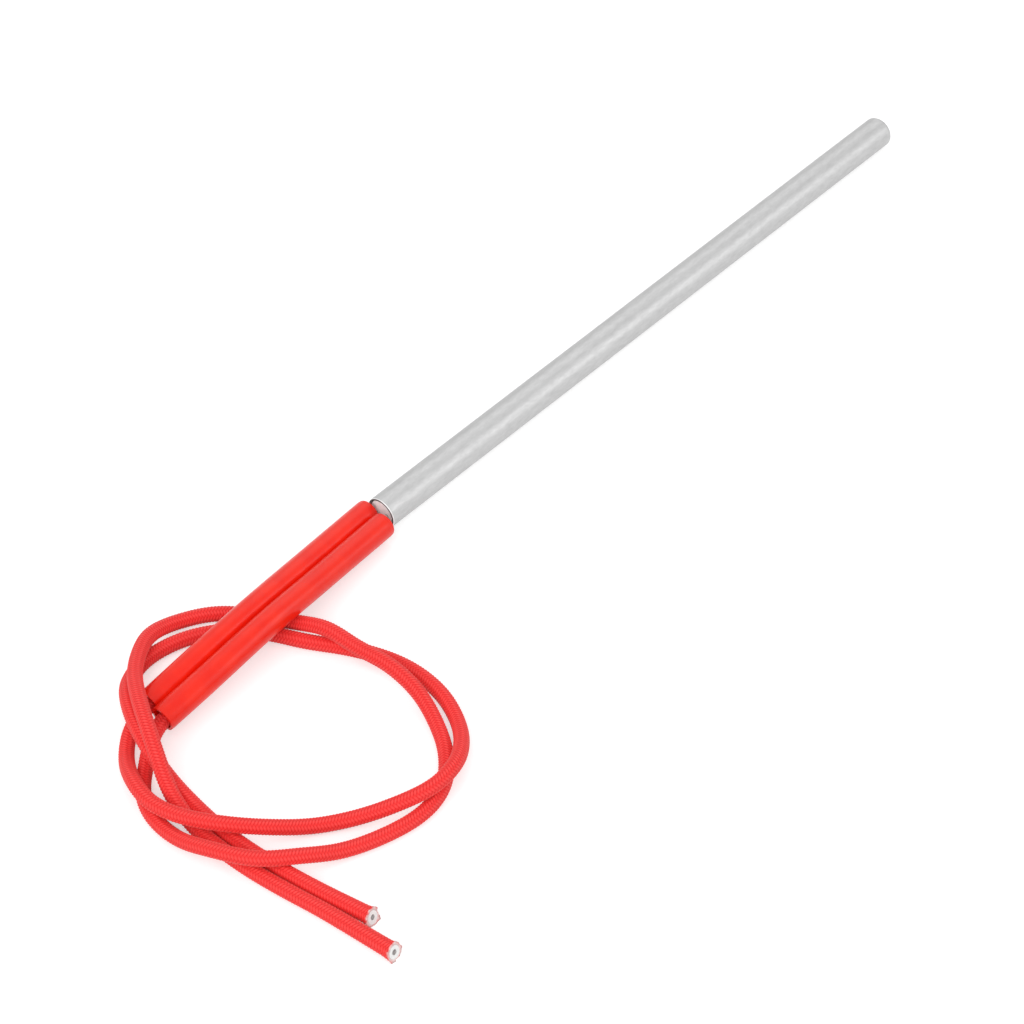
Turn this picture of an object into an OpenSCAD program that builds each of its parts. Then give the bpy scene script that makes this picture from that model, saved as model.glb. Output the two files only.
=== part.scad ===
// Cartridge heater with two sleeved, braided leads, as it lies on a flat surface.
// +X runs along the sheath from its lead end to its welded tip, and +Z is up.
// The origin is on the sheath's axis, at the face of its lead end.

/* [Sheath] */
// Outside diameter of the sheath
sheath_od = 6; // [5.6:0.1:8]
// Length of the sheath over both ends
sheath_len = 140; // [80:1:300]
// Wall of the sheath
sheath_wall = 0.4; // [0.3:0.05:0.6]
// Depth of the slim chamfer round the lead end
mouth_chamfer = 0.1; // [0.05:0.05:0.2]
// Length of that chamfer along the sheath
mouth_chamfer_len = 0.35; // [0.1:0.05:0.6]
// Radius on the edge of the welded tip
tip_radius = 0.8; // [0.3:0.05:1.2]

/* [Tip] */
// Thickness of the steel disc that closes the tip
tip_disc_len = 2.5; // [1.5:0.1:4]
// Thickness of the insulating wafer behind the disc
tip_wafer_len = 1.5; // [1:0.1:3]

/* [Winding] */
// Wall of packed oxide between the winding and the sheath
fill_wall = 0.25; // [0.15:0.05:0.5]
// Diameter of the resistance wire
wire_d = 0.3; // [0.2:0.02:0.36]
// Advance of the winding in one turn, about
wire_pitch = 3.5; // [2.5:0.1:6]
// Distance from each end of the row of cores to the winding
cold_len = 4; // [2:0.5:20]
// Diameter of the port that takes the wire in to a pin
port_d = 0.6; // [0.5:0.05:0.8]

/* [Terminals] */
// Diameter of the terminal pins
pin_d = 0.7; // [0.5:0.05:0.8]
// Wall of ceramic between each pin's hole and the outside of a core
pin_wall = 0.2; // [0.15:0.05:0.3]
// Turn of the pair of pins about the sheath's axis, from level
pin_roll = -9; // [-15:1:15]
// Depth of the cement seal in the lead end
seal_len = 8; // [4:0.5:15]
// How far the seal's face lies inside the lead end
seal_recess = 0.1; // [0.05:0.05:0.5]
// Straight length of each pin in front of the seal
pin_straight = 1.2; // [0.8:0.1:2]
// Length over which each pin bends out to its crimp
pin_bend = 3; // [2:0.1:4]

/* [Crimps] */
// Outside diameter of a crimp barrel
crimp_od = 3; // [2.4:0.1:3.2]
// Length of a crimp barrel
crimp_len = 9; // [7:0.5:9]
// Depth of the crimp's hole for the pin, and of the one for the wire
crimp_depth = 4; // [2.5:0.1:4.2]
// Depth of a crimp's dents
dent_depth = 0.35; // [0.2:0.05:0.5]

/* [Sleeves] */
// Outside diameter of a sleeve
sleeve_od = 4.6; // [4.4:0.1:4.8]
// Wall of a sleeve
sleeve_wall = 0.5; // [0.3:0.05:0.6]
// Distance between the lead end of the sheath and the first sleeve
sleeve_start = 0.9; // [0.5:0.1:2]
// How far the second sleeve stands back from the first
second_back = 1; // [0:0.1:2]
// Distance that the pair of sleeves hangs below the pins
sleeve_drop = 0.15; // [0:0.05:0.2]

/* [Leads] */
// Diameter of a lead over its braid
lead_od = 2.6; // [2.2:0.1:2.6]
// Wall of the braid
braid_wall = 0.35; // [0.25:0.05:0.4]
// Diameter of the stranded conductor
conductor_d = 0.9; // [0.6:0.1:1.2]

/* [Hidden] */

// Room left between a piece and the tube or hole that it slides into
slide_clear = 0.03;
// Room left between the two sleeves where they lie side by side
sleeve_gap = 0.05;
// How far a hole's cutter runs past the face that it opens in
cut_over = 1;
core_count = 4;
tip_steps = 6;
round_fn = 96;
small_fn = 48;

steel = [0.78, 0.78, 0.78];
nickel = [0.62, 0.6, 0.56];
ceramic_white = [0.95, 0.95, 0.93];
oxide_cream = [0.9, 0.88, 0.82];
mica_tan = [0.8, 0.74, 0.62];
sleeve_red = [1, 0.25, 0.2];
braid_red = [0.95, 0.24, 0.23];
glass_white = [0.94, 0.93, 0.9];

sheath_r = sheath_od / 2;
bore_r = sheath_r - sheath_wall;
floor_z = -sheath_r;

// Where the tip's rounded edge lies at a distance from the axis
tip_flat_r = sheath_r - tip_radius;
function tip_x(r) = sheath_len - tip_radius + sqrt(tip_radius * tip_radius - pow(max(0, r - tip_flat_r), 2));

// Stations along the sheath
disc_x = sheath_len - tip_disc_len;
wafer_x = disc_x - tip_wafer_len;
core_len = (wafer_x - seal_len) / core_count;
feed_x = seal_len + cold_len;
return_x = wafer_x - cold_len;

// The winding fits in the oxide, and the middle of each of its straight steps stands clear of the core
wire_r = wire_d / 2;
turn_steps = 10;
wire_sides = 5;
fill_r = bore_r - slide_clear - fill_wall;
coil_r = fill_r - slide_clear - wire_r;
coil_turns = round((return_x - feed_x) / wire_pitch) + 0.5;
core_r = coil_r * cos(180 / turn_steps) - wire_r - slide_clear;

// The pins and the sleeves' straight starts, as [y, z] of the first and the second lead
pin_r = pin_d / 2;
pin_gap = 2 * (core_r - pin_wall - slide_clear - pin_r);
pin_side = [cos(pin_roll), sin(pin_roll)];
pin_yz = [pin_side * pin_gap / 2, -pin_side * pin_gap / 2];
sleeve_pitch = sleeve_od + sleeve_gap;
sleeve_yz = [
    pin_side * sleeve_pitch / 2 - [0, sleeve_drop],
    -pin_side * sleeve_pitch / 2 - [0, sleeve_drop]
];
bend_x = -pin_straight - pin_bend;
bend_steps = 5;
// Open length of a pin between its bend and its crimp
pin_neck = 0.8;
crimp_x = bend_x - pin_neck;
crimp_end_x = crimp_x - crimp_len;
crimp_bore_r = pin_r + slide_clear;
wire_bore_r = conductor_d / 2 + slide_clear;
// Room left at the bottom of a crimp's holes
crimp_clear = 0.2;
// Radius of the tool that presses the dents
dent_r = 1;

lead_r = lead_od / 2;
insulation_r = lead_r - braid_wall;
conductor_r = conductor_d / 2;
// Length that a lead runs straight from its crimp
lead_straight = 0.6;
// How far a lead hangs from the middle of its sleeve's mouth, as a part of the room there
mouth_sag = 0.8;
mouth_drop = mouth_sag * (sleeve_od / 2 - sleeve_wall - lead_r);
lead_sides = 8;
pin_sides = 12;
sleeve_sides = 16;
sleeve_steps = 2;

// How far the sleeves turn aside and rise in each millimetre from the sheath
sleeve_slope = [0, 0.11, -0.09];
// Middle of each sleeve past its crimp: x, y and height over the surface
sleeve_points = [
    [[-22, 0, 4.4], [-31, -1, 5.2], [-40, -1.6, 5.1], [-49, -1.9, 4.3], [-56.9, -2, 3.2]],
    [[-22, -4.7, 5.2], [-31, -5.7, 6.1], [-40, -6.3, 5.9], [-49, -6.6, 5.1], [-58.3, -6.6, 4]]
];
// Middle of each free lead: x, y and lift over a lead that lies on the surface
lead_points = [
    [
        [-62, -3, 0.7], [-66.5, -6.5, 0.2], [-70.5, -12.5, 2.8], [-72, -18, 3.1],
        [-70.7, -23.8, 3.1], [-67.3, -29.9, 3.1], [-62.4, -34.6, 1.7], [-56.7, -38.7, 0.1],
        [-50.9, -42.9, 0.4], [-45.5, -46.5, 1.8], [-39.9, -49, 3], [-34.2, -48.5, 3],
        [-29.3, -45.5, 1.4], [-25.3, -41.1, 0], [-22.7, -35.5, 0], [-21.8, -29.3, 0],
        [-22.6, -23.2, 0], [-25.3, -16.4, 0], [-28.9, -10.2, 0], [-31.9, -3.9, 0],
        [-36.2, 1.5, 0], [-42.1, 5.3, 0], [-49, 6.7, 0], [-55.3, 4.5, 1.1],
        [-59.4, 0.3, 3.5], [-62.5, -4.6, 4.2], [-64.6, -9.8, 3.8], [-65.5, -15.4, 1.3],
        [-66.1, -21.9, 0], [-66.8, -29.4, 0], [-66.5, -37.9, 0], [-65.3, -47.9, 0],
        [-63.5, -58.2, 0]
    ],
    [
        [-62.2, -7.9, 1.5], [-66, -10.5, 0.2], [-69.7, -13.6, 0], [-72.2, -18.5, 0],
        [-73, -25, 0.7], [-72.2, -31.5, 2.7], [-69.1, -38.4, 3.1], [-63.7, -42.6, 2.3],
        [-57.2, -45.8, 0.3], [-49.8, -48.6, 0], [-42.8, -49.8, 0], [-36.6, -48.3, 0],
        [-31.6, -44.2, 0], [-28.1, -39, 0.2], [-25.7, -32.6, 1.5], [-25.4, -25.8, 2.9],
        [-26, -19.2, 2.7], [-26.4, -12.8, 3], [-27.5, -6.5, 0.9], [-30.2, -0.2, 0],
        [-34.3, 5.4, 0], [-40, 8.7, 0.2], [-46.3, 8.8, 2], [-51.7, 5.8, 3.5],
        [-56, 2, 5], [-59.8, -3, 6.6], [-62.9, -8, 7], [-65.7, -13.2, 5.5],
        [-68, -18.4, 2.4], [-69.2, -24.4, 0.2], [-69.6, -30.9, 0], [-69.4, -38, 0],
        [-68.6, -45, 0], [-67.5, -52.5, 0], [-66.2, -65.3, 0]
    ]
];

function unit(v) = v / norm(v);
function reversed(list) = [for (i = [len(list) - 1 : -1 : 0]) list[i]];

// A point on the smooth curve through four points, a part t of the way from b to c
function on_curve(a, b, c, d, t) =
    (2 * b + (c - a) * t + (2 * a - 5 * b + 4 * c - d) * t * t + (3 * b - a - 3 * c + d) * t * t * t) / 2;

// The smooth curve through a list of points, with so many steps between each two of them
function smooth(points, steps) =
    let (last = len(points) - 1)
    concat(
        [for (i = [0 : last - 1], k = [0 : steps - 1])
            on_curve(
                points[max(i - 1, 0)], points[i], points[i + 1], points[min(i + 2, last)], k / steps
            )],
        [points[last]]
    );

// Direction of a path at one of its points
function along(path, i) = unit(path[min(i + 1, len(path) - 1)] - path[max(i - 1, 0)]);

// One ring of a swept tube, square to the path. The path never runs along the vector across.
function ring(path, i, radius, sides, across) =
    let (
        ahead = along(path, i),
        side = unit(cross(ahead, across)),
        up = cross(side, ahead)
    )
    [for (k = [0 : sides - 1])
        let (turn = (k + 0.5) * 360 / sides)
        path[i] + radius * (cos(turn) * side + sin(turn) * up)];

function rings(path, radius, sides, across) =
    [for (i = [0 : len(path) - 1]) each ring(path, i, radius, sides, across)];

// Triangles of a tube's wall, from the first of its points in the list
function wall_faces(count, sides, first) =
    [for (i = [0 : count - 2], k = [0 : sides - 1])
        let (
            a = first + i * sides + k,
            b = first + i * sides + (k + 1) % sides,
            c = b + sides,
            d = a + sides
        )
        each [[a, b, c], [a, c, d]]];

// Triangles between the outer and the inner ring at an end of a hollow tube
function rim_faces(outer, inner, sides) =
    [for (k = [0 : sides - 1])
        let (n = (k + 1) % sides)
        each [[outer + k, inner + k, inner + n], [outer + k, inner + n, outer + n]]];

// A solid rod of one radius along a path
module rod(path, radius, sides, across = [0, 0, 1]) {
    count = len(path);
    start = [for (k = [sides - 1 : -1 : 0]) k];
    stop = [for (k = [0 : sides - 1]) (count - 1) * sides + k];
    polyhedron(rings(path, radius, sides, across), concat(wall_faces(count, sides, 0), [start, stop]));
}

// A hollow tube along a path
module tube(path, outer_r, inner_r, sides, across = [0, 0, 1]) {
    count = len(path);
    size = count * sides;
    last = (count - 1) * sides;
    polyhedron(
        concat(rings(path, outer_r, sides, across), rings(path, inner_r, sides, across)),
        concat(
            wall_faces(count, sides, 0),
            [for (f = wall_faces(count, sides, size)) reversed(f)],
            rim_faces(0, size, sides),
            [for (f = rim_faces(last, size + last, sides)) reversed(f)]
        )
    );
}

// A round bar along the sheath from one station to another, at a place across it
module bar(from_x, to_x, radius, yz = [0, 0], fn = small_fn) {
    translate([from_x, yz[0], yz[1]]) rotate([0, 90, 0]) cylinder(h = to_x - from_x, r = radius, $fn = fn);
}

// A turned piece, from its outline as [radius, x]
module turned(outline) {
    rotate([0, 90, 0]) rotate_extrude($fn = round_fn) polygon(outline);
}

module sheath() {
    arc_end = acos(max(0, bore_r - tip_flat_r) / tip_radius);
    tip_arc = [for (i = [0 : tip_steps]) [
        tip_flat_r + tip_radius * cos(arc_end * i / tip_steps),
        sheath_len - tip_radius + tip_radius * sin(arc_end * i / tip_steps)
    ]];
    color(steel) turned(concat(
        [[bore_r, 0], [sheath_r - mouth_chamfer, 0], [sheath_r, mouth_chamfer_len]],
        tip_arc,
        tip_flat_r > bore_r ? [[bore_r, sheath_len]] : []
    ));
}

module tip_disc() {
    disc_r = bore_r - slide_clear;
    flat_r = min(disc_r - slide_clear, tip_flat_r);
    edge = [for (i = [0 : tip_steps])
        let (r = disc_r + (flat_r - disc_r) * i / tip_steps)
        [r, tip_x(r)]];
    color(steel) turned(concat([[0, disc_x], [disc_r, disc_x]], edge, [[0, sheath_len]]));
}

module tip_wafer() {
    color(mica_tan) bar(wafer_x, disc_x, bore_r - slide_clear, fn = round_fn);
}

// One ceramic core, counted from the lead end, with the two long holes for the pins
module core(index) {
    from_x = seal_len + index * core_len;
    to_x = from_x + core_len;
    color(ceramic_white) difference() {
        bar(from_x, to_x, core_r);
        for (yz = pin_yz) bar(from_x - cut_over, to_x + cut_over, pin_r + slide_clear, yz);
        if (index == 0) wire_port(feed_x, 180);
        if (index == core_count - 1) wire_port(return_x, 0);
    }
}

// The radial port that takes an end of the winding in to a pin
module wire_port(x, turn) {
    translate([x, 0, 0])
        rotate([pin_roll + turn, 0, 0])
            translate([0, pin_gap / 2, 0])
                rotate([-90, 0, 0]) cylinder(h = core_r, d = port_d, $fn = small_fn);
}

// A point at a distance from the sheath's axis, turned about it from the first pin's side
function round_axis(x, radius, turn) =
    [x, radius * cos(pin_roll + turn), radius * sin(pin_roll + turn)];

module winding() {
    pin_touch = pin_gap / 2 + pin_r + slide_clear;
    steps = coil_turns * turn_steps;
    path = concat(
        [round_axis(feed_x, pin_touch, 180)],
        [for (s = [0 : steps])
            round_axis(feed_x + (return_x - feed_x) * s / steps, coil_r, 180 + s * 360 / turn_steps)],
        [round_axis(return_x, pin_touch, 0)]
    );
    color(nickel) rod(path, wire_r, wire_sides, [1, 0, 0]);
}

module oxide_fill() {
    color(oxide_cream) difference() {
        bar(seal_len, wafer_x, bore_r - slide_clear, fn = round_fn);
        bar(seal_len - cut_over, wafer_x + cut_over, fill_r, fn = round_fn);
    }
}

// A point on the pin's double bend, a part t of the way from a to b
function on_bend(a, b, t) =
    let (eased = t * t * (3 - 2 * t))
    [a[0] + (b[0] - a[0]) * t, a[1] + (b[1] - a[1]) * eased, a[2] + (b[2] - a[2]) * eased];

// A terminal pin: straight in its crimp, bent in front of the seal, straight to its end in the cores
module pin(index, to_x) {
    elbow = sleeve_axis(index, bend_x);
    knee = [-pin_straight, pin_yz[index][0], pin_yz[index][1]];
    path = concat(
        [sleeve_axis(index, crimp_x - crimp_depth + crimp_clear)],
        [for (i = [0 : bend_steps]) on_bend(elbow, knee, i / bend_steps)],
        [[to_x, knee[1], knee[2]]]
    );
    color(nickel) rod(path, pin_r, pin_sides);
}

module end_seal() {
    color(ceramic_white) difference() {
        bar(seal_recess, seal_len, bore_r - slide_clear, fn = round_fn);
        for (yz = pin_yz) bar(-cut_over, seal_len + cut_over, pin_r + slide_clear, yz);
    }
}

// A splice barrel in line with its sleeve: a hole at each end, and a pressed dent over each hole
module crimp(index) {
    foot = sleeve_axis(index, crimp_end_x);
    lean = unit(sleeve_axis(index, crimp_x) - foot);
    wire_hole = crimp_depth;
    pin_hole = crimp_len - crimp_depth;
    color(nickel) translate(foot) rotate([0, acos(lean[2]), atan2(lean[1], lean[0])]) difference() {
        cylinder(h = crimp_len, d = crimp_od, $fn = small_fn);
        translate([0, 0, -cut_over]) cylinder(h = wire_hole + cut_over, r = wire_bore_r, $fn = small_fn);
        translate([0, 0, pin_hole]) cylinder(h = crimp_depth + cut_over, r = crimp_bore_r, $fn = small_fn);
        for (z = [wire_hole / 2, crimp_len - crimp_depth / 2])
            translate([dent_depth - dent_r - crimp_od / 2, 0, z])
                rotate([90, 0, 0]) cylinder(h = crimp_od, r = dent_r, center = true, $fn = small_fn);
    }
}

// A point on the straight start of a sleeve, which leads off from the sheath's end
function sleeve_axis(index, x) =
    [x, sleeve_yz[index][0], sleeve_yz[index][1]] + sleeve_slope * (x + sleeve_start);

// The bent run of a sleeve past its crimp
function sleeve_run(index) = [for (p = sleeve_points[index]) [p[0], p[1], floor_z + p[2]]];

module sleeve(index) {
    start_x = -sleeve_start - index * second_back;
    straight = [sleeve_axis(index, start_x), sleeve_axis(index, crimp_end_x)];
    path = smooth(concat(straight, sleeve_run(index)), sleeve_steps);
    color(sleeve_red) tube(path, sleeve_od / 2, sleeve_od / 2 - sleeve_wall, sleeve_sides);
}

// A lead inside its sleeve, where it hangs low at the mouth
function lead_run(index) =
    let (run = sleeve_run(index), mouth = len(run) - 1)
    [for (i = [0 : mouth]) run[i] - [0, 0, i == mouth ? mouth_drop : 0]];

// A lead's whole path, from the end of its crimp through its sleeve to its cut end
function lead_path(index) = concat(
    [sleeve_axis(index, crimp_end_x), sleeve_axis(index, crimp_end_x - lead_straight)],
    lead_run(index),
    [for (p = lead_points[index]) [p[0], p[1], floor_z + lead_r + p[2]]]
);

module lead_braid(index) {
    color(braid_red) tube(lead_path(index), lead_r, insulation_r + slide_clear, lead_sides);
}

module lead_insulation(index) {
    color(glass_white) tube(lead_path(index), insulation_r, conductor_r + slide_clear, lead_sides);
}

module lead_conductor(index) {
    path = concat([sleeve_axis(index, crimp_end_x + crimp_depth - crimp_clear)], lead_path(index));
    color(nickel) rod(path, conductor_r, lead_sides);
}

sheath();
tip_disc();
tip_wafer();
core(0);  // core_1
core(1);  // core_2
core(2);  // core_3
core(3);  // core_4
winding();
oxide_fill();
pin(0, return_x);  // return_pin
pin(1, feed_x);  // feed_pin
end_seal();
crimp(0);  // crimp_1
crimp(1);  // crimp_2
sleeve(0);  // sleeve_1
sleeve(1);  // sleeve_2
lead_braid(0);  // lead_1_braid
lead_insulation(0);  // lead_1_insulation
lead_conductor(0);  // lead_1_conductor
lead_braid(1);  // lead_2_braid
lead_insulation(1);  // lead_2_insulation
lead_conductor(1);  // lead_2_conductor
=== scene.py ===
"""Cartridge heater with sleeved, braided leads: detailed pieces, materials, light and camera."""
import math

import bpy
import numpy as np
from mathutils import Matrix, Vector, geometry
from mathutils import noise as solid_noise


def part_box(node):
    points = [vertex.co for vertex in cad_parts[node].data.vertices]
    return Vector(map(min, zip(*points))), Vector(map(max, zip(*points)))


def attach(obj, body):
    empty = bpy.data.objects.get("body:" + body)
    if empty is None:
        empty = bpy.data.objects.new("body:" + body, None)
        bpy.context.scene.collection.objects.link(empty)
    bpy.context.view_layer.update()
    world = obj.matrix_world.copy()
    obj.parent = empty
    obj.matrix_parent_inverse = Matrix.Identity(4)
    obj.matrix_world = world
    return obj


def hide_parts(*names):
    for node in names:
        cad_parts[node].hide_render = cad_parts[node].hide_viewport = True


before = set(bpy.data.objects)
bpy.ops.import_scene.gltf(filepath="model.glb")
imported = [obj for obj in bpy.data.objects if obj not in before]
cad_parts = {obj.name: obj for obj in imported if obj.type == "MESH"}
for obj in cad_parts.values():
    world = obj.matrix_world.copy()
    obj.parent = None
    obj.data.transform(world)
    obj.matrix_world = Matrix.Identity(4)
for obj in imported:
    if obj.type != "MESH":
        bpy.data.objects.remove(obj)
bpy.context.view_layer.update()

MM = 0.001
RNG = np.random.default_rng(7)

# Places from the frame, in metres: the sheath lies along X on the floor
SHEATH_LOW, SHEATH_HIGH = (Vector(corner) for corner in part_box("sheath"))
SHEATH_R = (SHEATH_HIGH.z - SHEATH_LOW.z) / 2
SHEATH_LEN = SHEATH_HIGH.x
FLOOR_Z = SHEATH_LOW.z

# The camera looks at a point on the floor. Its heading and elevation are in degrees
VIEW_TARGET = Vector((0.01746, -0.01449, FLOOR_Z))
VIEW_HEADING = 41.84
VIEW_ELEVATION = 45.1
VIEW_DISTANCE = 0.593
SENSOR_MM = 36
LENS_MM = 120.74
CLIP_NEAR = 0.01
CLIP_FAR = 20

# The sheath: its bore, the soft edge of its lead end and the rounder edge of its tip
BORE_R = 2.6 * MM
RIM_DROP = 0.09 * MM
RIM_LEN = 0.6 * MM
RIM_POINTS = 9
# The rows of the rounded rim that take the painted highlight
HIGHLIGHT_RIM_ROWS = 4
TIP_EDGE_R = 0.8 * MM
TIP_POINTS = 10
WALL_START = 1 * MM
WALL_POINTS = 60
SHEATH_SIDES = 160

# The seal: its length and rim, the depth of its face, and the pins' holes as [y, z]
SEAL_LEN = 8 * MM
SEAL_R = 2.57 * MM
SEAL_DEPTH = 0.12 * MM
SEAL_LEAST_DEPTH = 0.02 * MM
RIM_SIDES = 96
PIN_HOLE_R = 0.38 * MM
PIN_HOLE_SIDES = 24
PIN_YZ = [(1.26 * MM, -0.2 * MM), (-1.26 * MM, 0.2 * MM)]
# Where the cement shrank from the bore: width and depth of the gap, and how softly it starts
SHRINK_GAP = 0.12 * MM
SHRINK_DEPTH = 0.4 * MM
SHRINK_SOFT = 0.05 * MM
# Where the cement climbs the pins: height and width of the collar
COLLAR_HEIGHT = 0.04 * MM
COLLAR_WIDTH = 0.15 * MM
# The points across the seal's face: their spacing, its share that they stray, and the rings at its edges
SEAL_GRID = 0.14 * MM
SEAL_GRID_STRAY = 0.2
RIM_RING_INSET = 0.06 * MM
PIN_RING_OUTSET = 0.07 * MM
# How they are joined to triangles: the kind of result, and how close two points count as one, in metres
INSIDE_OUTLINE = 4
MERGE_WITHIN = 1e-7
# The unevenness of the face: height, width of its largest lumps, and the falling weight of the finer ones
LUMP_HEIGHT = 0.035 * MM
LUMP_WIDTH = 0.9 * MM
LUMP_FADE = 0.8
LUMP_RATIO = 2.0
LUMP_LAYERS = 4

# The sleeves: radii, gaps to the sheath, and the turn aside and rise in each metre from it
SLEEVE_R = 2.3 * MM
SLEEVE_BORE_R = 1.8 * MM
SLEEVE_STARTS = (0.9 * MM, 1.9 * MM)
SLEEVE_SLOPE = Vector((1, 0.11, -0.09))
SLEEVE_STEP = 0.6 * MM
SLEEVE_SIDES = 64
LIP_ROUND = 0.05 * MM
# How far a sleeve is out of round, and the length over which that turns by a radian
OVAL = 0.03 * MM
OVAL_TURN_LEN = 9 * MM

# The leads: radii of the layers, gaps between them, and how low a lead hangs in its sleeve's mouth
LEAD_R = 1.36 * MM
FIBRE_R = 0.93 * MM
STRANDS_R = 0.45 * MM
BRAID_GAP = 0.02 * MM
FIBRE_GAP = 0.03 * MM
CRIMP_GAP = 0.3 * MM
MOUTH_DROP = 0.4 * MM
FLOOR_GAP = 0.01 * MM
FIBRE_STEP = 2 * MM
FIBRE_SIDES = 40

# The braid: yarns each way round, how many a yarn goes over at a time, the pitch and height of a stitch,
# and how round a yarn is and how far it dips
CARRIERS = 8
OVER = 2
STITCH = 0.55 * MM
STITCH_LIFT = 0.17 * MM
YARN_ROUND = 0.8
YARN_DIP = 0.7
BRAID_SIDES = 48
BRAID_STEP = STITCH / 4
INNER_LIFT = 0.3
# The first stretch of a lead, which its sleeve hides
HIDDEN_LEN = 40 * MM

# The conductor: wires in each layer, the sides of a wire, and the length of one twist
WIRES = (1, 6, 12)
WIRE_R = STRANDS_R / (2 * len(WIRES) - 1)
WIRE_SIDES = 6
TWIST_LEN = 14 * MM
STRANDS_STEP = 1.4 * MM

# The cut ends: where the braid loosens, how far they spread, and how far their upper side is cut back
LOOSE_LEN = 16 * MM
LOOSE = 0.11
FLARE_LEN = 1.8 * MM
FLARE = 0.19
FIBRE_FLARE = 0.22
CUT_SLANT = 0.3
# How unevenly the yarns end: share of the flare, reach along the lead and paleness, from least to most
FRAY = (0.3, 1.5)
RAGGED = (-0.2 * MM, 0.25 * MM)
PALENESS = (0.2, 1.0)
PALE_LEN = 0.3 * MM
# Sides of the braid that fray together and that end together
FRAY_SIDES = 4
YARN_SIDES = 2

# Middle of each sleeve past its crimp: x, y and height over the floor
SLEEVE_POINTS = [
    [
        (-0.022, 0, 0.0044), (-0.031, -0.001, 0.0052), (-0.04, -0.0016, 0.0051),
        (-0.049, -0.0019, 0.0043), (-0.0569, -0.002, 0.0032),
    ],
    [
        (-0.022, -0.0047, 0.0052), (-0.031, -0.0057, 0.0061), (-0.04, -0.0063, 0.0059),
        (-0.049, -0.0066, 0.0051), (-0.0583, -0.0066, 0.004),
    ],
]
# Middle of each free lead: x, y and lift over a lead that lies on the floor
LEAD_POINTS = [
    [
        (-0.062, -0.003, 0.0007), (-0.0665, -0.0065, 0.0002), (-0.0705, -0.0125, 0.0028),
        (-0.072, -0.018, 0.0031), (-0.0707, -0.0238, 0.0031), (-0.0673, -0.0299, 0.0031),
        (-0.0624, -0.0346, 0.0017), (-0.0567, -0.0387, 0.0001), (-0.0509, -0.0429, 0.0004),
        (-0.0455, -0.0465, 0.0018), (-0.0399, -0.049, 0.003), (-0.0342, -0.0485, 0.003),
        (-0.0293, -0.0455, 0.0014), (-0.0253, -0.0411, 0), (-0.0227, -0.0355, 0),
        (-0.0218, -0.0293, 0), (-0.0226, -0.0232, 0), (-0.0253, -0.0164, 0),
        (-0.0289, -0.0102, 0), (-0.0319, -0.0039, 0), (-0.0362, 0.0015, 0),
        (-0.0421, 0.0053, 0), (-0.049, 0.0067, 0), (-0.0553, 0.0045, 0.0011),
        (-0.0594, 0.0003, 0.0035), (-0.0625, -0.0046, 0.0042), (-0.0646, -0.0098, 0.0038),
        (-0.0655, -0.0154, 0.0013), (-0.0661, -0.0219, 0), (-0.0668, -0.0294, 0),
        (-0.0665, -0.0379, 0), (-0.0653, -0.0479, 0), (-0.0635, -0.0582, 0),
    ],
    [
        (-0.0622, -0.0079, 0.0015), (-0.066, -0.0105, 0.0002), (-0.0697, -0.0136, 0),
        (-0.0722, -0.0185, 0), (-0.073, -0.025, 0.0007), (-0.0722, -0.0315, 0.0027),
        (-0.0691, -0.0384, 0.0031), (-0.0637, -0.0426, 0.0023), (-0.0572, -0.0458, 0.0003),
        (-0.0498, -0.0486, 0), (-0.0428, -0.0498, 0), (-0.0366, -0.0483, 0),
        (-0.0316, -0.0442, 0), (-0.0281, -0.039, 0.0002), (-0.0257, -0.0326, 0.0015),
        (-0.0254, -0.0258, 0.0029), (-0.026, -0.0192, 0.0027), (-0.0264, -0.0128, 0.003),
        (-0.0275, -0.0065, 0.0009), (-0.0302, -0.0002, 0), (-0.0343, 0.0054, 0),
        (-0.04, 0.0087, 0.0002), (-0.0463, 0.0088, 0.002), (-0.0517, 0.0058, 0.0035),
        (-0.056, 0.002, 0.005), (-0.0598, -0.003, 0.0066), (-0.0629, -0.008, 0.007),
        (-0.0657, -0.0132, 0.0055), (-0.068, -0.0184, 0.0024), (-0.0692, -0.0244, 0.0002),
        (-0.0696, -0.0309, 0), (-0.0694, -0.038, 0), (-0.0686, -0.045, 0),
        (-0.0675, -0.0525, 0), (-0.0662, -0.0653, 0),
    ],
]
# Points in each span of the smooth curve, and the step, width and reach of the easing of its bends
SPAN_POINTS = 40
EASE_STEP = 0.2 * MM
EASE = 1.6 * MM
EASE_REACH = 3 * EASE

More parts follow.
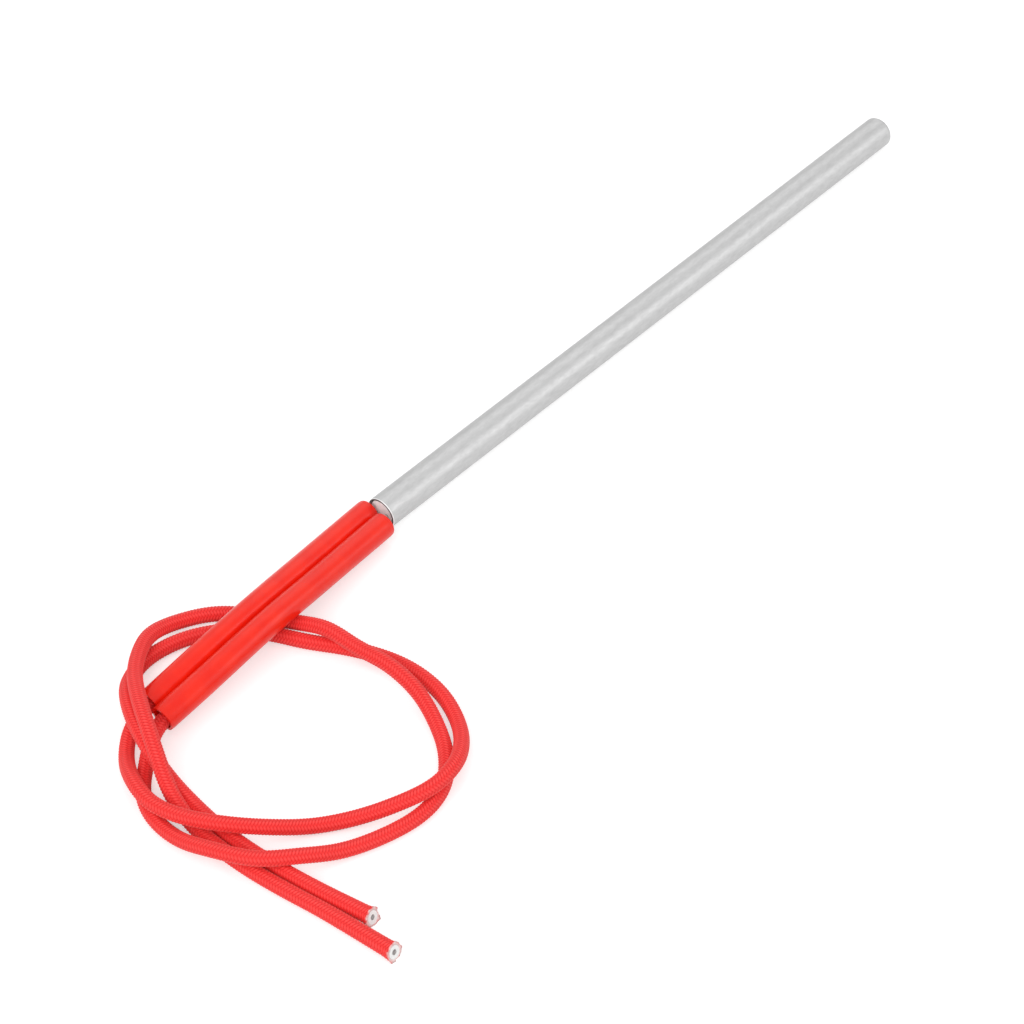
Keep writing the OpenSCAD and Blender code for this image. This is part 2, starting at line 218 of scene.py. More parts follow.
# Finishes with a plain grain: two colours, roughness, grains in a metre, and where they differ, metal,
# stretch of the grain and its depth in millimetres
GRAINED = {
    # The sheath's rounded rim is painted brighter than the satin wall: a painted highlight where the rim
    # catches the light
    "chamfer": {
        "name": "bright_chamfer", "dark": (0.72, 0.72, 0.72), "light": (0.82, 0.82, 0.82),
        "rough": 0.4, "scale": 900, "metallic": 1.0,
    },
    # The sheath's flat end face is painted near black: painted shade for the dark ring round the sheath's
    # mouth
    "end_face_shade": {
        "name": "cut_steel_edge", "dark": (0.05, 0.055, 0.055), "light": (0.14, 0.145, 0.145),
        "rough": 0.5, "scale": 1500, "metallic": 0.6,
    },
    "cement": {
        "name": "white_cement", "dark": (0.88, 0.95, 0.94), "light": (0.94, 1.0, 0.99),
        "rough": 0.75, "scale": 1400, "depth": 0.1,
    },
    "insulation": {
        "name": "white_glass_fibre", "dark": (0.92, 0.91, 0.9), "light": (0.98, 0.98, 0.97),
        "rough": 0.8, "scale": 4000, "depth": 0.06,
    },
    "strands": {
        "name": "nickel_strands", "dark": (0.3, 0.27, 0.27), "light": (0.5, 0.47, 0.46),
        "rough": 0.4, "scale": 2500, "metallic": 1.0,
    },
    "core": {
        "name": "fired_ceramic", "dark": (0.86, 0.86, 0.83), "light": (0.95, 0.95, 0.93),
        "rough": 0.6, "scale": 900,
    },
    "oxide": {
        "name": "packed_oxide", "dark": (0.82, 0.8, 0.73), "light": (0.92, 0.9, 0.85),
        "rough": 0.9, "scale": 3000, "depth": 0.05,
    },
    "wafer": {
        "name": "pressed_mica", "dark": (0.66, 0.58, 0.45), "light": (0.82, 0.76, 0.64),
        "rough": 0.5, "scale": 1200,
    },
    "nickel": {
        "name": "drawn_nickel", "dark": (0.5, 0.48, 0.44), "light": (0.66, 0.64, 0.6),
        "rough": 0.35, "scale": 800, "metallic": 1.0, "stretch": (0.02, 1, 1),
    },
    "resistance_wire": {
        "name": "resistance_wire", "dark": (0.3, 0.29, 0.28), "light": (0.46, 0.45, 0.43),
        "rough": 0.45, "scale": 1500, "metallic": 1.0,
    },
    "tinned_brass": {
        "name": "tinned_barrel", "dark": (0.52, 0.5, 0.45), "light": (0.7, 0.68, 0.63),
        "rough": 0.4, "scale": 1000, "metallic": 1.0,
    },
}
# The finish of each piece that keeps its CAD shape
CAD_FINISHES = {
    "tip_disc": "stainless", "tip_wafer": "wafer", "winding": "resistance_wire", "oxide_fill": "oxide",
    "return_pin": "nickel", "feed_pin": "nickel",
    "crimp_1": "tinned_brass", "crimp_2": "tinned_brass",
    "core_1": "core", "core_2": "core", "core_3": "core", "core_4": "core",
}

# The sky's strength as light, and where it is seen
SKY_LIGHT = 0.58
SKY_SEEN = 1.0
# The floor's half width, its grey, and its glow where it is seen
FLOOR_HALF = 4.0
FLOOR_GREY = 0.72
FLOOR_GLOW = 0.52
# Each lamp's place, the width of its disk and its power in watts
LAMPS = {
    "key_lamp": ((0.48, -0.64, 0.42), 0.5, 1.1),
    "top_lamp": ((0.47, 0.34, 0.68), 0.7, 0.8),
    "fill_lamp": ((-0.72, -0.25, 0.72), 1.4, 6.8),
}


# Camera

def make_camera():
    """The camera at the photograph's viewing angle."""
    heading = math.radians(VIEW_HEADING)
    elevation = math.radians(VIEW_ELEVATION)
    look = Vector((
        math.cos(elevation) * math.cos(heading),
        math.cos(elevation) * math.sin(heading),
        -math.sin(elevation),
    ))
    data = bpy.data.cameras.new("camera")
    data.lens = LENS_MM
    data.sensor_width = SENSOR_MM
    data.sensor_fit = "HORIZONTAL"
    data.clip_start = CLIP_NEAR
    data.clip_end = CLIP_FAR
    camera = bpy.data.objects.new("camera", data)
    camera.location = VIEW_TARGET - look * VIEW_DISTANCE
    camera.rotation_euler = look.to_track_quat("-Z", "Y").to_euler()
    bpy.context.scene.collection.objects.link(camera)
    bpy.context.scene.camera = camera


# Materials

def shader(name, colour, rough, metallic=0.0):
    """A new material and its principled shader."""
    material = bpy.data.materials.new(name)
    material.use_nodes = True
    bsdf = material.node_tree.nodes["Principled BSDF"]
    bsdf.inputs["Base Color"].default_value = (*colour, 1)
    bsdf.inputs["Roughness"].default_value = rough
    bsdf.inputs["Metallic"].default_value = metallic
    material.diffuse_color = (*colour, 1)
    return material, bsdf


def node(material, kind, **settings):
    """A new node in a material, with its settings."""
    made = material.node_tree.nodes.new(kind)
    for key, value in settings.items():
        setattr(made, key, value)
    return made


def join(material, output, target):
    """Links a node's output to another's input."""
    material.node_tree.links.new(output, target)


def noise(material, scale, stretch=(1, 1, 1), detail=4.0, rough=0.55):
    """Noise in the object's coordinates, in features per metre, stretched along its axes."""
    place = node(material, "ShaderNodeTexCoord")
    mapping = node(material, "ShaderNodeMapping")
    mapping.inputs["Scale"].default_value = stretch
    texture = node(material, "ShaderNodeTexNoise")
    texture.inputs["Scale"].default_value = scale
    texture.inputs["Detail"].default_value = detail
    texture.inputs["Roughness"].default_value = rough
    join(material, place.outputs["Object"], mapping.inputs["Vector"])
    join(material, mapping.outputs["Vector"], texture.inputs["Vector"])
    return texture.outputs["Fac"]


def ramp(material, value, stops):
    """A colour ramp over a value, from (place, colour) stops."""
    made = node(material, "ShaderNodeValToRGB")
    elements = made.color_ramp.elements
    while len(elements) < len(stops):
        elements.new(position=0.5)
    for element, (place, colour) in zip(elements, stops):
        element.position = place
        element.color = (*colour, 1)
    join(material, value, made.inputs["Fac"])
    return made.outputs["Color"]


def levels(material, value, low, high):
    """A value from 0 to 1 spread between two levels."""
    made = node(material, "ShaderNodeMapRange")
    made.inputs["To Min"].default_value = low
    made.inputs["To Max"].default_value = high
    join(material, value, made.inputs["Value"])
    return made.outputs["Result"]


def bump(material, bsdf, height, strength, distance):
    """Raises a surface by a height from 0 to 1, over a distance in metres."""
    made = node(material, "ShaderNodeBump")
    made.inputs["Strength"].default_value = strength
    made.inputs["Distance"].default_value = distance
    join(material, height, made.inputs["Height"])
    join(material, made.outputs["Normal"], bsdf.inputs["Normal"])


def grained(name, dark, light, rough, scale, metallic=0.0, stretch=(1, 1, 1), depth=0.02, spread=0.1):
    """A material whose colour, roughness and surface follow one grain."""
    material, bsdf = shader(name, light, rough, metallic)
    grain = noise(material, scale, stretch)
    join(material, ramp(material, grain, [(0.35, dark), (0.65, light)]), bsdf.inputs["Base Color"])
    join(material, levels(material, grain, rough - spread, rough + spread), bsdf.inputs["Roughness"])
    bump(material, bsdf, grain, strength=0.3, distance=depth * MM)
    return material


def satin_steel():
    """Drawn tube: short soft streaks along it, a fine grain and a darker look at a low angle."""
    material, bsdf = shader("satin_steel", (0.54, 0.54, 0.54), rough=0.5, metallic=1.0)
    bsdf.inputs["Specular Tint"].default_value = (0.95, 0.95, 0.95, 1)
    streaks = noise(material, scale=1600, stretch=(0.3, 1, 1), detail=5.0, rough=0.65)
    grain = noise(material, scale=4000, stretch=(0.3, 1, 1), detail=3.0)
    dark = (0.465, 0.465, 0.465)
    light = (0.535, 0.535, 0.535)
    tone = ramp(material, streaks, [(0.3, dark), (0.7, light)])
    join(material, tone, bsdf.inputs["Base Color"])
    join(material, levels(material, grain, low=0.38, high=0.62), bsdf.inputs["Roughness"])
    bump(material, bsdf, grain, strength=0.3, distance=0.02 * MM)
    return material


def braid_material():
    """Red yarn with painted shade between the stitches and a painted highlight on their crowns, with pale
    cut fibres at the end.
    """
    material, bsdf = shader("red_braid", (0.96, 0.03, 0.03), rough=0.6)
    bsdf.inputs["Specular IOR Level"].default_value = 0.15
    bsdf.inputs["Sheen Weight"].default_value = 0.26
    bsdf.inputs["Sheen Roughness"].default_value = 0.5
    bsdf.inputs["Sheen Tint"].default_value = (1, 0.6, 0.56, 1)
    lift = node(material, "ShaderNodeAttribute", attribute_name="lift")
    cut = node(material, "ShaderNodeAttribute", attribute_name="cut")
    # Painted shade and painted highlight: the colour follows the weave's height, deep in the valleys
    # between the stitches and high on their crowns
    deep = (0.62, 0.01, 0.013)
    middle = (0.95, 0.042, 0.04)
    high = (1.0, 0.09, 0.085)
    pale_fibre = (0.93, 0.74, 0.72)
    yarn = ramp(material, lift.outputs["Fac"], [(0.0, deep), (0.45, middle), (1.0, high)])
    blend = node(material, "ShaderNodeMix", data_type="RGBA")
    blend.inputs["B"].default_value = (*pale_fibre, 1)
    join(material, cut.outputs["Fac"], blend.inputs["Factor"])
    join(material, yarn, blend.inputs["A"])
    join(material, blend.outputs["Result"], bsdf.inputs["Base Color"])
    bump(material, bsdf, noise(material, scale=6000, detail=2.0), strength=0.25, distance=0.04 * MM)
    return material


def silicone_material():
    """Red silicone rubber: a soft gloss, faint lines along the tube and a slightly cloudy colour."""
    material, bsdf = shader("red_silicone", (0.92, 0.025, 0.007), rough=0.38)
    bsdf.inputs["IOR"].default_value = 1.41
    clouds = noise(material, scale=260)
    lines = noise(material, scale=2200, stretch=(0.04, 1, 1), detail=2.0)
    dark = (0.88, 0.014, 0.003)
    light = (0.95, 0.022, 0.005)
    tone = ramp(material, clouds, [(0.35, dark), (0.65, light)])
    join(material, tone, bsdf.inputs["Base Color"])
    join(material, levels(material, lines, low=0.26, high=0.36), bsdf.inputs["Roughness"])
    bump(material, bsdf, lines, strength=0.1, distance=0.02 * MM)
    return material


def make_materials():
    """Every material of the object, by the record's slot or by what it finishes."""
    made = {"stainless": satin_steel(), "silicone": silicone_material(), "braid": braid_material()}
    made.update({finish: grained(**settings) for finish, settings in GRAINED.items()})
    return made


# Paths

def path_run(line):
    """Distance along a line of points, at each of them."""
    return np.concatenate([[0], np.cumsum(np.linalg.norm(np.diff(line, axis=0), axis=1))])


def at_stations(line, stations):
    """Points of a line at given distances along it."""
    run = path_run(line)
    return np.stack([np.interp(stations, run, line[:, k]) for k in range(3)], 1)


def eased(line):
    """A line whose bends are eased by a moving average. Its ends stay where they are."""
    length = path_run(line)[-1]
    even = at_stations(line, np.linspace(0, length, round(length / EASE_STEP) + 1))
    reach = round(EASE_REACH / EASE_STEP)
    weights = np.exp(-0.5 * (np.arange(-reach, reach + 1) * EASE_STEP / EASE) ** 2)
    before = 2 * even[0] - even[reach:0:-1]
    after = 2 * even[-1] - even[-2:-reach - 2:-1]
    padded = np.vstack([before, even, after])
    return np.stack([np.convolve(padded[:, k], weights / weights.sum(), "valid") for k in range(3)], 1)


def smooth_path(points, step, hidden=0.0):
    """Points a step apart on the smooth curve through the given ones, and their distances along it.

    On a first stretch that is hidden they lie a stitch apart."""
    given = np.array(points, float)
    ends = np.vstack([2 * given[0] - given[1], given, 2 * given[-1] - given[-2]])
    a, b, c, d = (ends[i:len(ends) - 3 + i, None] for i in range(4))
    t = np.linspace(0, 1, SPAN_POINTS, endpoint=False)[None, :, None]
    square = (2 * a - 5 * b + 4 * c - d) * t**2
    cube = (3 * b - a - 3 * c + d) * t**3
    curve = (2 * b + (c - a) * t + square + cube) / 2
    line = eased(np.vstack([curve.reshape(-1, 3), given[-1:]]))
    length = path_run(line)[-1]
    stations = np.concatenate([
        np.arange(0, hidden, STITCH),
        np.linspace(hidden, length, round((length - hidden) / step) + 1),
    ])
    return at_stations(line, stations), stations


def unit(vectors):
    """Vectors of the same directions, one long."""
    return vectors / np.linalg.norm(vectors, axis=-1, keepdims=True)


def path_frames(path):
    """Direction of a path, and the level and upright directions across it, at each point."""
    ahead = unit(np.gradient(path, axis=0))
    side = unit(np.cross(ahead, [0, 0, 1]))
    return ahead, side, np.cross(side, ahead)


# Meshes

def ring_grid(path, radius, sides, centre=(0, 0)):
    """Rings of points round a path. centre moves them across it, as [level, upright]."""
    _, side, up = path_frames(path)
    turn = 2 * np.pi * np.arange(sides) / sides
    radius = np.broadcast_to(radius, (len(path), sides))
    level = np.broadcast_to(centre[0], (len(path), 1)) + radius * np.cos(turn)
    upright = np.broadcast_to(centre[1], (len(path), 1)) + radius * np.sin(turn)
    return path[:, None] + level[..., None] * side[:, None] + upright[..., None] * up[:, None]


def wall_faces(rings, sides, first=0, inward=False):
    """Faces between rings of points that follow each other from a first point."""
    i, k = np.meshgrid(np.arange(rings - 1), np.arange(sides), indexing="ij")
    a = first + i * sides + k
    b = first + i * sides + (k + 1) % sides
    quads = np.stack([a, a + sides, b + sides, b], -1).reshape(-1, 4)
    return (quads[:, ::-1] if inward else quads).tolist()


def rim_faces(outer, inner, sides, at_start):
    """Faces between an outer and an inner ring, given by their first points."""
    k = np.arange(sides)
    n = (k + 1) % sides
    quads = np.stack([outer + k, outer + n, inner + n, inner + k], -1)
    return (quads if at_start else quads[:, ::-1]).tolist()


def tube_mesh(outer, inner):
    """Points and faces of a hollow tube, from its grids of outer and inner rings."""
    rings, sides = outer.shape[:2]
    count = len(inner)
    size = rings * sides
    points = np.vstack([outer.reshape(-1, 3), inner.reshape(-1, 3)])
    faces = wall_faces(rings, sides)
    faces += wall_faces(count, sides, size, inward=True)
    faces += rim_faces(0, size, sides, at_start=True)
    faces += rim_faces(size - sides, size + (count - 1) * sides, sides, at_start=False)
    return points, faces


def rod_mesh(grid, first=0):
    """Points and faces of a solid rod, from its grid of rings."""
    rings, sides = grid.shape[:2]
    last = first + (rings - 1) * sides
    caps = [list(range(first, first + sides)), list(range(last + sides - 1, last - 1, -1))]
    return grid.reshape(-1, 3), wall_faces(rings, sides, first) + caps


def make_piece(name, points, faces, material, slot, cad_node, sharp=40):
    """A mesh piece of the object that stands for a CAD node, smooth up to a sharp angle in degrees."""
    mesh = bpy.data.meshes.new(name)
    mesh.from_pydata(np.asarray(points).tolist(), [], faces)
    mesh.shade_smooth()
    mesh.set_sharp_from_angle(angle=math.radians(sharp))
    mesh.materials.append(material)
    piece = bpy.data.objects.new(name, mesh)
    bpy.context.scene.collection.objects.link(piece)
    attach(piece, "root")
    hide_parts(cad_node)
    return piece


def point_values(piece, name, values):
    """Keeps one number for each point of a piece, for its material."""
    attribute = piece.data.attributes.new(name, "FLOAT", "POINT")
    attribute.data.foreach_set("value", np.asarray(values, np.float32).ravel())


# Sleeves

def crimp_axis(index, x):
    """A point on the sloped straight start of a sleeve, which runs through the middle of its crimp."""
    low, high = (Vector(corner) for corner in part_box(f"crimp_{index + 1}"))
    middle = (low + high) / 2
    return middle + SLEEVE_SLOPE * (x - middle.x)


def crimp_end(index):
    """Where a crimp ends, along X."""
    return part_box(f"crimp_{index + 1}")[0][0]


def sleeve_run(index, drop=0.0):
    """The bent run of a sleeve, or of the lead that hangs low in its mouth."""
    run = [(x, y, FLOOR_Z + height) for x, y, height in SLEEVE_POINTS[index]]
    x, y, z = run[-1]
    return run[:-1] + [(x, y, z - drop)]


def make_sleeve(index, material):
    """A silicone tube with rounded lips, very slightly out of round."""
    straight = [crimp_axis(index, -SLEEVE_STARTS[index]), crimp_axis(index, crimp_end(index))]
    path, run = smooth_path(straight + sleeve_run(index), SLEEVE_STEP)
    turn = 2 * np.pi * np.arange(SLEEVE_SIDES) / SLEEVE_SIDES
    oval = OVAL * np.sin(2 * turn[None] + run[:, None] / OVAL_TURN_LEN + index)
    lip = np.zeros((len(run), 1))
    lip[[0, -1]] = LIP_ROUND
    outer = ring_grid(path, SLEEVE_R + oval - lip, SLEEVE_SIDES)
    inner = ring_grid(path, SLEEVE_BORE_R + oval + lip, SLEEVE_SIDES)
    sleeve = f"sleeve_{index + 1}"
    return make_piece(f"{sleeve}_tube", *tube_mesh(outer, inner), material, "silicone", sleeve)


# Leads

def lead_route(index):
    """Points of a lead from its crimp, through its sleeve, to its cut end."""
    route = [crimp_axis(index, crimp_end(index) - CRIMP_GAP)] + sleeve_run(index, MOUTH_DROP)
    return route + [(x, y, FLOOR_Z + LEAD_R + lift) for x, y, lift in LEAD_POINTS[index]]


def weave(turn, along):
    """Height from 0 to 1 of a braid whose yarns go over two and under two."""
    one_way = CARRIERS * turn + along / STITCH
    other_way = CARRIERS * turn - along / STITCH
    cell = (np.floor(one_way) + np.floor(other_way)) % (2 * OVER)
    first_over = cell < OVER
    across = np.where(first_over, one_way % 1, other_way % 1)
    ahead = np.where(first_over, cell + other_way % 1, cell - OVER + one_way % 1)
    dip = 1 - np.sin(np.pi * ahead / OVER)
    return np.sin(np.pi * across) ** YARN_ROUND * (1 - YARN_DIP * dip)


def near_cut(run, reach=FLARE_LEN):
    """0 along a lead and up to 1 at its cut end, for each ring."""
    return np.clip((run - run[-1] + reach) / reach, 0, 1)[:, None]


def slant_cut(grid, path, run):
    """Slants the cut end of a lead's layer back at the top, and keeps it over the floor."""
    ahead, _, up = path_frames(path)
    height = ((grid - path[:, None]) * up[:, None]).sum(-1)
    slanted = grid - (CUT_SLANT * near_cut(run) ** 2 * height)[..., None] * ahead[:, None]
    slanted[..., 2] = np.maximum(slanted[..., 2], FLOOR_Z + FLOOR_GAP)
    return slanted


def uneven(limits, sides):
    """Random values round the braid, each held over a few of its sides."""
    return np.repeat(RNG.uniform(*limits, BRAID_SIDES // sides), sides)


def fibre_radius(run):
    """Radius of the white fibre layer, which spreads at the cut end."""
    return FIBRE_R * (1 + FIBRE_FLARE * near_cut(run))


def make_cover(lead, route, material):
    """The woven cover of a lead, with its path and length. It is loose and frayed at the cut end."""
    path, run = smooth_path(route, BRAID_STEP, hidden=HIDDEN_LEN)
    inner_path, inner_run = smooth_path(route, FIBRE_STEP)
    lift = weave(np.arange(BRAID_SIDES) / BRAID_SIDES, run[:, None])
    flare = 1 + FLARE * uneven(FRAY, FRAY_SIDES) * near_cut(run) ** 2
    spread = (1 + LOOSE * near_cut(run, LOOSE_LEN)) * flare
    outer = ring_grid(path, (LEAD_R - STITCH_LIFT * (1 - lift)) * spread, BRAID_SIDES)
    ragged = near_cut(run) ** 4 * uneven(RAGGED, YARN_SIDES)
    outer += ragged[..., None] * path_frames(path)[0][:, None]
    inner = ring_grid(inner_path, fibre_radius(inner_run) + BRAID_GAP, BRAID_SIDES)
    mesh = tube_mesh(slant_cut(outer, path, run), slant_cut(inner, inner_path, inner_run))
    cover = make_piece(f"{lead}_woven", *mesh, material, "braid", f"{lead}_braid", sharp=180)

    pale = near_cut(run, PALE_LEN) * uneven(PALENESS, YARN_SIDES)
    inner_pale = np.zeros(inner.shape[:2])
    inner_pale[-1] = 1
    inner_lift = np.full(inner.shape[:2], INNER_LIFT)
    # The weave's height also sets the braid's painted shade and painted highlight
    point_values(cover, "lift", np.vstack([lift, inner_lift]))
    point_values(cover, "cut", np.vstack([pale, inner_pale]))
    return cover, path, run[-1]


def make_fibre(lead, route, material):
    """The white fibre layer of a lead."""
    path, run = smooth_path(route, FIBRE_STEP)
    grids = [ring_grid(path, radius, FIBRE_SIDES) for radius in (fibre_radius(run), STRANDS_R + FIBRE_GAP)]
    mesh = tube_mesh(*(slant_cut(grid, path, run) for grid in grids))
    return make_piece(f"{lead}_fibre", *mesh, material, "insulation", f"{lead}_insulation")


def make_strands(lead, route, material):
    """The conductor of a lead: nineteen twisted wires."""
    path, run = smooth_path(route, STRANDS_STEP)
    twist = 2 * np.pi * run / TWIST_LEN
    points = []
    faces = []
    first = 0
    for layer, count in enumerate(WIRES):
        for k in range(count):
            angle = twist + 2 * np.pi * k / count
            centre = 2 * WIRE_R * layer * np.stack([np.cos(angle), np.sin(angle)])[..., None]
            grid = slant_cut(ring_grid(path, WIRE_R, WIRE_SIDES, centre), path, run)
            wire_points, wire_faces = rod_mesh(grid, first)
            points.append(wire_points)
            faces += wire_faces
            first += len(wire_points)
    return make_piece(f"{lead}_strands", np.vstack(points), faces, material, "strands", f"{lead}_conductor")


def make_leads(materials):
    """Each sleeve and the lead in it, which is a free cord from its crimp to its cut end."""
    for index in (0, 1):
        lead = f"lead_{index + 1}"
        route = lead_route(index)
        sleeve = make_sleeve(index, materials["silicone"])
        cover, path, length = make_cover(lead, route, materials["braid"])
        fibre = make_fibre(lead, route, materials["insulation"])
        strands = make_strands(lead, route, materials["strands"])


# Sheath

def sheath_outline():
    """Radius and place along X of the sheath's rings, from the bore at its lead end to the tip."""
    flat_r = SHEATH_R - TIP_EDGE_R
    tip_start = SHEATH_LEN - TIP_EDGE_R
    tip_end = math.acos((BORE_R - flat_r) / TIP_EDGE_R)
    rim = [
        (SHEATH_R - RIM_DROP * (1 - math.sin(a)), RIM_LEN * (1 - math.cos(a)))
        for a in np.linspace(0, math.pi / 2, RIM_POINTS)
    ]
    wall = [(SHEATH_R, x) for x in np.linspace(WALL_START, tip_start, WALL_POINTS)]
    tip = [
        (flat_r + TIP_EDGE_R * math.cos(a), tip_start + TIP_EDGE_R * math.sin(a))
        for a in np.linspace(0, tip_end, TIP_POINTS)[1:]
    ]
    return [(BORE_R, 0)] + rim + wall + tip


def make_sheath(materials):
    """The turned sheath: an end face painted near black as shade, a softly rounded rim painted bright as a
    highlight, satin wall and rounded tip.
    """
    outline = sheath_outline()
    rows = len(outline)
    sides = SHEATH_SIDES
    turn = 2 * np.pi * np.arange(sides) / sides
    ring = np.stack([np.zeros(sides), -np.cos(turn), np.sin(turn)], 1)
    points = np.vstack([radius * ring + [x, 0, 0] for radius, x in outline])
    bore = rim_faces(0, (rows - 1) * sides, sides, at_start=True)
    faces = wall_faces(rows, sides) + bore
    piece = make_piece(
        "heater_sheath", points, faces, materials["stainless"], "stainless", "sheath", sharp=35)
    piece.data.materials.append(materials["end_face_shade"])
    piece.data.materials.append(materials["chamfer"])
    # The places of the materials: 0 is the satin wall, 1 the end face, painted near black as shade, and 2
    # the rounded rim, painted brighter as a highlight
    row = np.repeat(np.arange(rows), sides)
    finish = np.select([row == 0, row <= HIGHLIGHT_RIM_ROWS], [1, 2], 0)
    piece.data.polygons.foreach_set("material_index", finish)


# Seal

def circle(radius, count, centre=(0, 0)):
    """Points evenly round a circle, as [y, z]."""
    turn = 2 * np.pi * np.arange(count) / count
    return np.stack([centre[0] + radius * np.cos(turn), centre[1] + radius * np.sin(turn)], 1)


def seal_grid():
    """Points strewn evenly over the seal's face, clear of its rim and its pin holes."""
    spots = np.arange(-SEAL_R, SEAL_R, SEAL_GRID)
    stray = RNG.uniform(-SEAL_GRID_STRAY, SEAL_GRID_STRAY, (len(spots) ** 2, 2)) * SEAL_GRID
    grid = np.stack(np.meshgrid(spots, spots), -1).reshape(-1, 2) + stray
    keep = np.linalg.norm(grid, axis=1) < SEAL_R - SHRINK_GAP - SEAL_GRID
    for centre in PIN_YZ:
        keep &= np.linalg.norm(grid - centre, axis=1) > PIN_HOLE_R + SEAL_GRID
    return grid[keep]


def seal_outline():
    """Points across the seal as [y, z], and the closed loops of its rim and its two pin holes."""
    loops = [circle(SEAL_R, RIM_SIDES)]
    loops += [circle(PIN_HOLE_R, PIN_HOLE_SIDES, centre) for centre in PIN_YZ]
    insets = (SHRINK_SOFT, SHRINK_GAP, SHRINK_GAP + RIM_RING_INSET)
    inside = [circle(SEAL_R - inset, RIM_SIDES) for inset in insets]
    inside += [circle(PIN_HOLE_R + PIN_RING_OUTSET, PIN_HOLE_SIDES, centre) for centre in PIN_YZ]
    edges = []
    first = 0
    for loop in loops:
        edges += [(first + k, first + (k + 1) % len(loop)) for k in range(len(loop))]
        first += len(loop)
    return np.vstack(loops + inside + [seal_grid()]), edges


def lumps(y, z):
    """Uneven height of the cement at a point of its face."""
    place = Vector((y, z, 0)) / LUMP_WIDTH
    return LUMP_HEIGHT * solid_noise.fractal(place, LUMP_FADE, LUMP_RATIO, LUMP_LAYERS)


def seal_face(yz):
    """How deep the seal's face lies at each point: uneven, low at the rim and raised round the pins."""
    depth = np.array([SEAL_DEPTH + lumps(y, z) for y, z in yz])
    for centre in PIN_YZ:
        from_pin = np.linalg.norm(yz - centre, axis=1) - PIN_HOLE_R
        depth -= COLLAR_HEIGHT * np.exp(-(from_pin / COLLAR_WIDTH) ** 2)
    from_rim = SEAL_R - np.linalg.norm(yz, axis=1)
    shrunk = np.clip((SHRINK_GAP + SHRINK_SOFT - from_rim) / SHRINK_GAP, 0, 1)
    return np.maximum(depth, SEAL_LEAST_DEPTH) + SHRINK_DEPTH * shrunk ** 2


def in_pin_hole(place):
    """Whether a place across the seal lies in one of its pin holes."""
    return any(np.linalg.norm(place - centre) < PIN_HOLE_R for centre in np.array(PIN_YZ))


def make_seal(material):
    """The cement seal: a poured face, shrunk from the bore at its rim, with a hole for each pin."""
    points, edges = seal_outline()
    places = [Vector(point) for point in points]
    mesh = geometry.delaunay_2d_cdt(places, edges, [], INSIDE_OUTLINE, MERGE_WITHIN)
    yz = np.array([tuple(point) for point in mesh[0]])
    # The triangulation also fills the pin holes, so the triangles in them are left out
    triangles = [t for t in mesh[2] if not in_pin_hole(yz[list(t)].mean(0))]
    count = len(yz)
    front = np.column_stack([seal_face(yz), yz])
    back = np.column_stack([np.full(count, SEAL_LEN), yz])
    faces = [tuple(reversed(t)) for t in triangles]
    faces += [tuple(k + count for k in t) for t in triangles]
    sides = [(t[k], t[(k + 1) % 3]) for t in triangles for k in range(3)]
    known = set(sides)
    faces += [(a, b, b + count, a + count) for a, b in sides if (b, a) not in known]
    make_piece("cement_seal", np.vstack([front, back]), faces, material, "cement", "end_seal", sharp=60)


def dress_cad_nodes(materials):
    """The pieces that keep their CAD shape get their materials."""
    for name, finish in CAD_FINISHES.items():
        mesh = bpy.data.objects[name].data
        for place in range(len(mesh.materials)):
            mesh.materials[place] = materials[finish]


# Floor and light

def seen_rays(tree):
    """1 for rays from the camera and for what metal and glass show, 0 for light on other things."""
    path = tree.nodes.new("ShaderNodeLightPath")
    total = path.outputs["Is Camera Ray"]
    for other in ("Is Glossy Ray", "Is Transmission Ray"):
        most = tree.nodes.new("ShaderNodeMath")
        most.operation = "MAXIMUM"
        tree.links.new(total, most.inputs[0])
        tree.links.new(path.outputs[other], most.inputs[1])
        total = most.outputs["Value"]
    return total


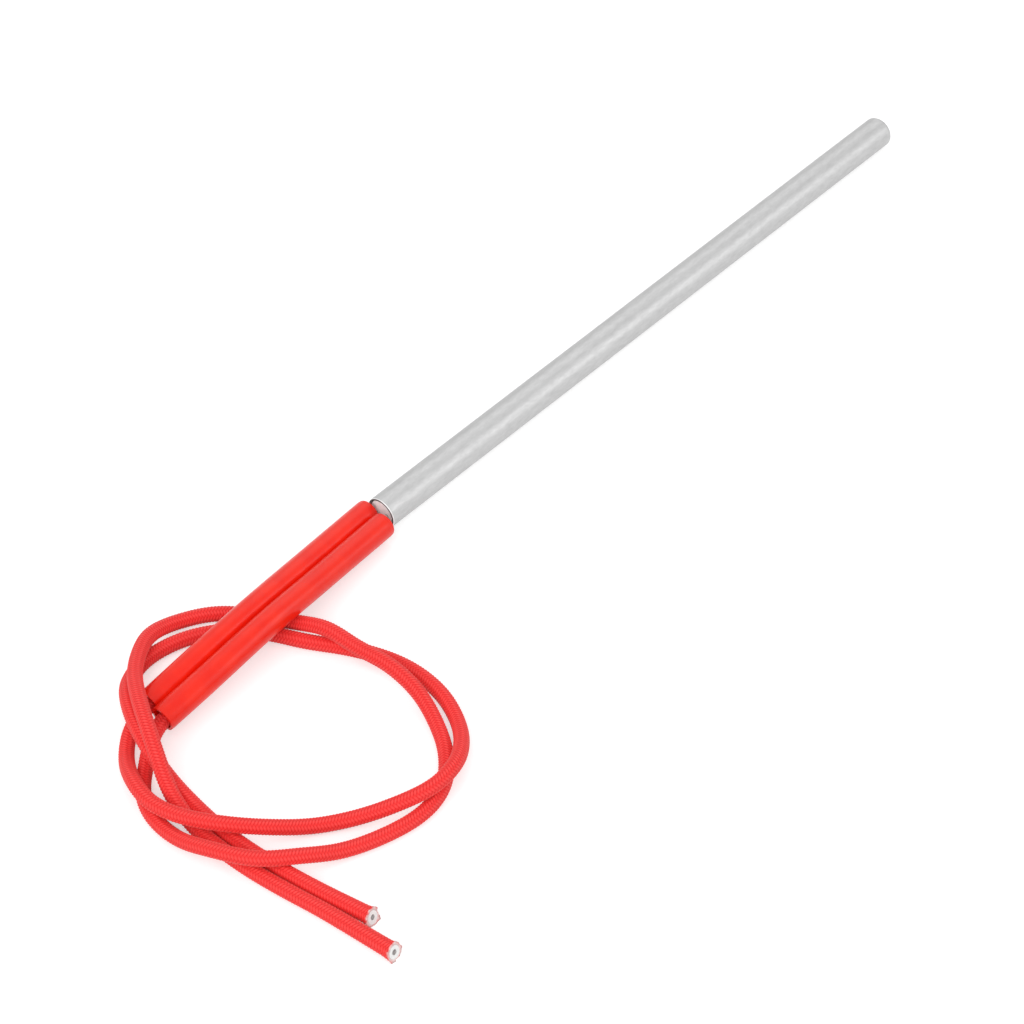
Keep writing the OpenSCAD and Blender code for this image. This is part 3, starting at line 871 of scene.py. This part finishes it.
def floor_material():
    """White that keeps a soft shadow: a grey that takes the light, and a glow where it is seen."""
    material = bpy.data.materials.new("floor_white")
    material.use_nodes = True
    tree = material.node_tree
    tree.nodes.remove(tree.nodes["Principled BSDF"])
    diffuse = tree.nodes.new("ShaderNodeBsdfDiffuse")
    diffuse.inputs["Color"].default_value = (FLOOR_GREY, FLOOR_GREY, FLOOR_GREY, 1)
    glow = tree.nodes.new("ShaderNodeEmission")
    strength = tree.nodes.new("ShaderNodeMath")
    strength.operation = "MULTIPLY"
    strength.inputs[1].default_value = FLOOR_GLOW
    tree.links.new(seen_rays(tree), strength.inputs[0])
    tree.links.new(strength.outputs["Value"], glow.inputs["Strength"])
    both = tree.nodes.new("ShaderNodeAddShader")
    tree.links.new(diffuse.outputs["BSDF"], both.inputs[0])
    tree.links.new(glow.outputs["Emission"], both.inputs[1])
    tree.links.new(both.outputs["Shader"], tree.nodes["Material Output"].inputs["Surface"])
    return material


def make_floor():
    """A wide square that the object lies on."""
    corners = [(-1, -1), (1, -1), (1, 1), (-1, 1)]
    mesh = bpy.data.meshes.new("floor")
    mesh.from_pydata([(FLOOR_HALF * x, FLOOR_HALF * y, FLOOR_Z) for x, y in corners], [], [(0, 1, 2, 3)])
    mesh.materials.append(floor_material())
    floor = bpy.data.objects.new("floor", mesh)
    bpy.context.scene.collection.objects.link(floor)


def make_lamp(name, place, width, power):
    """A round lamp that faces the origin."""
    data = bpy.data.lights.new(name, "AREA")
    data.shape = "DISK"
    data.size = width
    data.energy = power
    lamp = bpy.data.objects.new(name, data)
    lamp.location = place
    lamp.rotation_euler = (-Vector(place)).to_track_quat("-Z", "Y").to_euler()
    bpy.context.scene.collection.objects.link(lamp)


def make_light():
    """A plain white sky and the lamps."""
    world = bpy.data.worlds.new("studio")
    bpy.context.scene.world = world
    world.use_nodes = True
    tree = world.node_tree
    background = tree.nodes["Background"]
    background.inputs["Color"].default_value = (1, 1, 1, 1)
    strength = tree.nodes.new("ShaderNodeMapRange")
    strength.inputs["To Min"].default_value = SKY_LIGHT
    strength.inputs["To Max"].default_value = SKY_SEEN
    tree.links.new(seen_rays(tree), strength.inputs["Value"])
    tree.links.new(strength.outputs["Result"], background.inputs["Strength"])
    for name, (place, width, power) in LAMPS.items():
        make_lamp(name, place, width, power)


make_camera()
finishes = make_materials()
make_leads(finishes)
make_sheath(finishes)
make_seal(finishes["cement"])
dress_cad_nodes(finishes)
make_floor()
make_light()
bpy.context.scene.view_settings.view_transform = "Standard"
